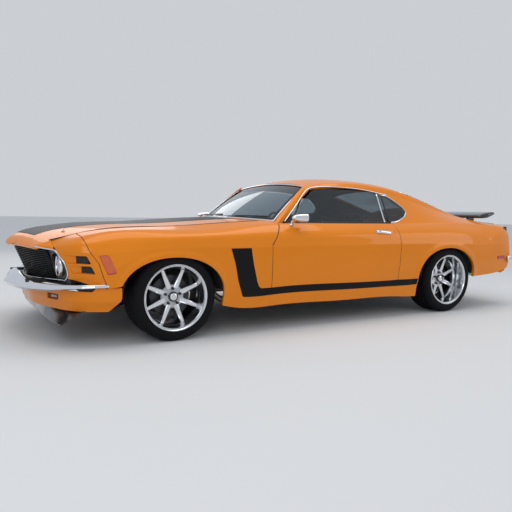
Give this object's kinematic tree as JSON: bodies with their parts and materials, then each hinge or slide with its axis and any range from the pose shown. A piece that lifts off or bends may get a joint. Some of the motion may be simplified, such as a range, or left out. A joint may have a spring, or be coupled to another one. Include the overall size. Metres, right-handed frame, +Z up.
{
  "type": "muscle car",
  "caption": "Full-size two-door fastback muscle car with opening doors, hood and trunk lid, steered front wheels and rolling deep-lip wheels.",
  "frame": {"origin": "on the ground under the middle of the car", "axes": "+X forward, +Y to the driver's left, +Z up"},
  "size_m": [4.76, 1.832, 1.2279],
  "materials": {
    "paint": "gloss orange-yellow paint with black stripes",
    "chrome": "bright chrome plate",
    "glass": "clear, slightly tinted",
    "lamp_glass": "clear fluted lens in a bright bowl",
    "red_lens": "red lens",
    "amber_lens": "amber lens",
    "black_gloss": "gloss black",
    "black_trim": "satin black",
    "upholstery": "black vinyl with sewn channels",
    "chassis": "satin black chassis paint",
    "engine_paint": "painted iron",
    "steel": "weathered exhaust steel",
    "polished_alloy": "polished and machined",
    "tyre": "black rubber"
  },
  "bodies": {
    "body": {"chin_spoiler": "black_gloss", "cowl": "paint", "dashboard": "black_trim", "deck_panel": "paint", "engine": "engine_paint", "exhaust": "steel", "fender_left": "paint", "fender_right": "paint", "firewall": "chassis", "floor": "chassis", "front_bumper": "chrome", "front_frame": "chassis", "front_markers": "amber_lens", "front_suspension": "chassis", "front_valance": "paint", "fuel_tank": "chassis", "grille": "black_trim", "headlamps": "lamp_glass", "nose": "paint", "quarter_left": "paint", "quarter_right": "paint", "quarter_windows": "glass", "rear_axle": "chassis", "rear_bumper": "chrome", "rear_floor": "chassis", "rear_frame": "chassis", "rear_glass": "glass", "rear_seat": "upholstery", "rear_valance": "paint", "roof": "paint", "seat_left": "upholstery", "seat_right": "upholstery", "sills": "paint", "steering_column": "black_trim", "tail_lamps": "red_lens", "tail_panel": "paint", "tunnel": "chassis", "windscreen": "glass"},
    "hood": {"hood": "paint"},
    "trunk_lid": {"trunk_lid": "paint", "rear_wing": "black_gloss"},
    "door_left": {"door_left": "paint", "door_glass_left": "glass", "mirror_left": "chrome", "handle_left": "chrome"},
    "door_right": {"door_right": "paint", "door_glass_right": "glass", "mirror_right": "chrome", "handle_right": "chrome"},
    "knuckle_left": {"knuckle_left": "chassis"},
    "knuckle_right": {"knuckle_right": "chassis"},
    "steering_wheel": {"steering_wheel": "black_trim"},
    "front_wheel_left": {"front_wheel_left": "polished_alloy", "front_tyre_left": "tyre"},
    "front_wheel_right": {"front_wheel_right": "polished_alloy", "front_tyre_right": "tyre"},
    "rear_wheel_left": {"rear_wheel_left": "polished_alloy", "rear_tyre_left": "tyre"},
    "rear_wheel_right": {"rear_wheel_right": "polished_alloy", "rear_tyre_right": "tyre"}
  },
  "joints": [
    {"name": "knuckle_left_steer", "type": "hinge", "parent": "body", "child": "knuckle_left", "pos_m": [1.3895, 0.693, 0.305], "axis": [0, 0, 1], "range_deg": [-30, 30]},
    {"name": "knuckle_right_steer", "type": "hinge", "parent": "body", "child": "knuckle_right", "pos_m": [1.3895, -0.693, 0.305], "axis": [0, 0, 1], "range_deg": [-30, 30]},
    {"name": "front_wheel_left_roll", "type": "hinge", "parent": "knuckle_left", "child": "front_wheel_left", "pos_m": [1.3895, 0.755, 0.305], "axis": [0, 1, 0], "continuous": true},
    {"name": "rear_wheel_left_roll", "type": "hinge", "parent": "body", "child": "rear_wheel_left", "pos_m": [-1.3535, 0.755, 0.305], "axis": [0, 1, 0], "continuous": true},
    {"name": "door_left_swing", "type": "hinge", "parent": "body", "child": "door_left", "pos_m": [0.589, 0.88, 0.5], "axis": [0, 0, -1], "range_deg": [0, 62]},
    {"name": "front_wheel_right_roll", "type": "hinge", "parent": "knuckle_right", "child": "front_wheel_right", "pos_m": [1.3895, -0.755, 0.305], "axis": [0, 1, 0], "continuous": true},
    {"name": "rear_wheel_right_roll", "type": "hinge", "parent": "body", "child": "rear_wheel_right", "pos_m": [-1.3535, -0.755, 0.305], "axis": [0, 1, 0], "continuous": true},
    {"name": "door_right_swing", "type": "hinge", "parent": "body", "child": "door_right", "pos_m": [0.589, -0.88, 0.5], "axis": [0, 0, 1], "range_deg": [0, 62]},
    {"name": "hood_lift", "type": "hinge", "parent": "body", "child": "hood", "pos_m": [0.638, 0, 0.84], "axis": [0, -1, 0], "range_deg": [0, 50]},
    {"name": "trunk_lid_lift", "type": "hinge", "parent": "body", "child": "trunk_lid", "pos_m": [-1.7955, 0, 0.925], "axis": [0, 1, 0], "range_deg": [0, 60]},
    {"name": "steering_wheel_turn", "type": "hinge", "parent": "body", "child": "steering_wheel", "pos_m": [0.19, 0.36, 0.742], "axis": [-0.8927, 0, 0.4507], "range_deg": [-450, 450]}
  ],
  "couplings": [
    {"joint": "knuckle_right_steer", "follows": "knuckle_left_steer", "ratio": 1},
    {"joint": "steering_wheel_turn", "follows": "knuckle_left_steer", "ratio": 15}
  ]
}
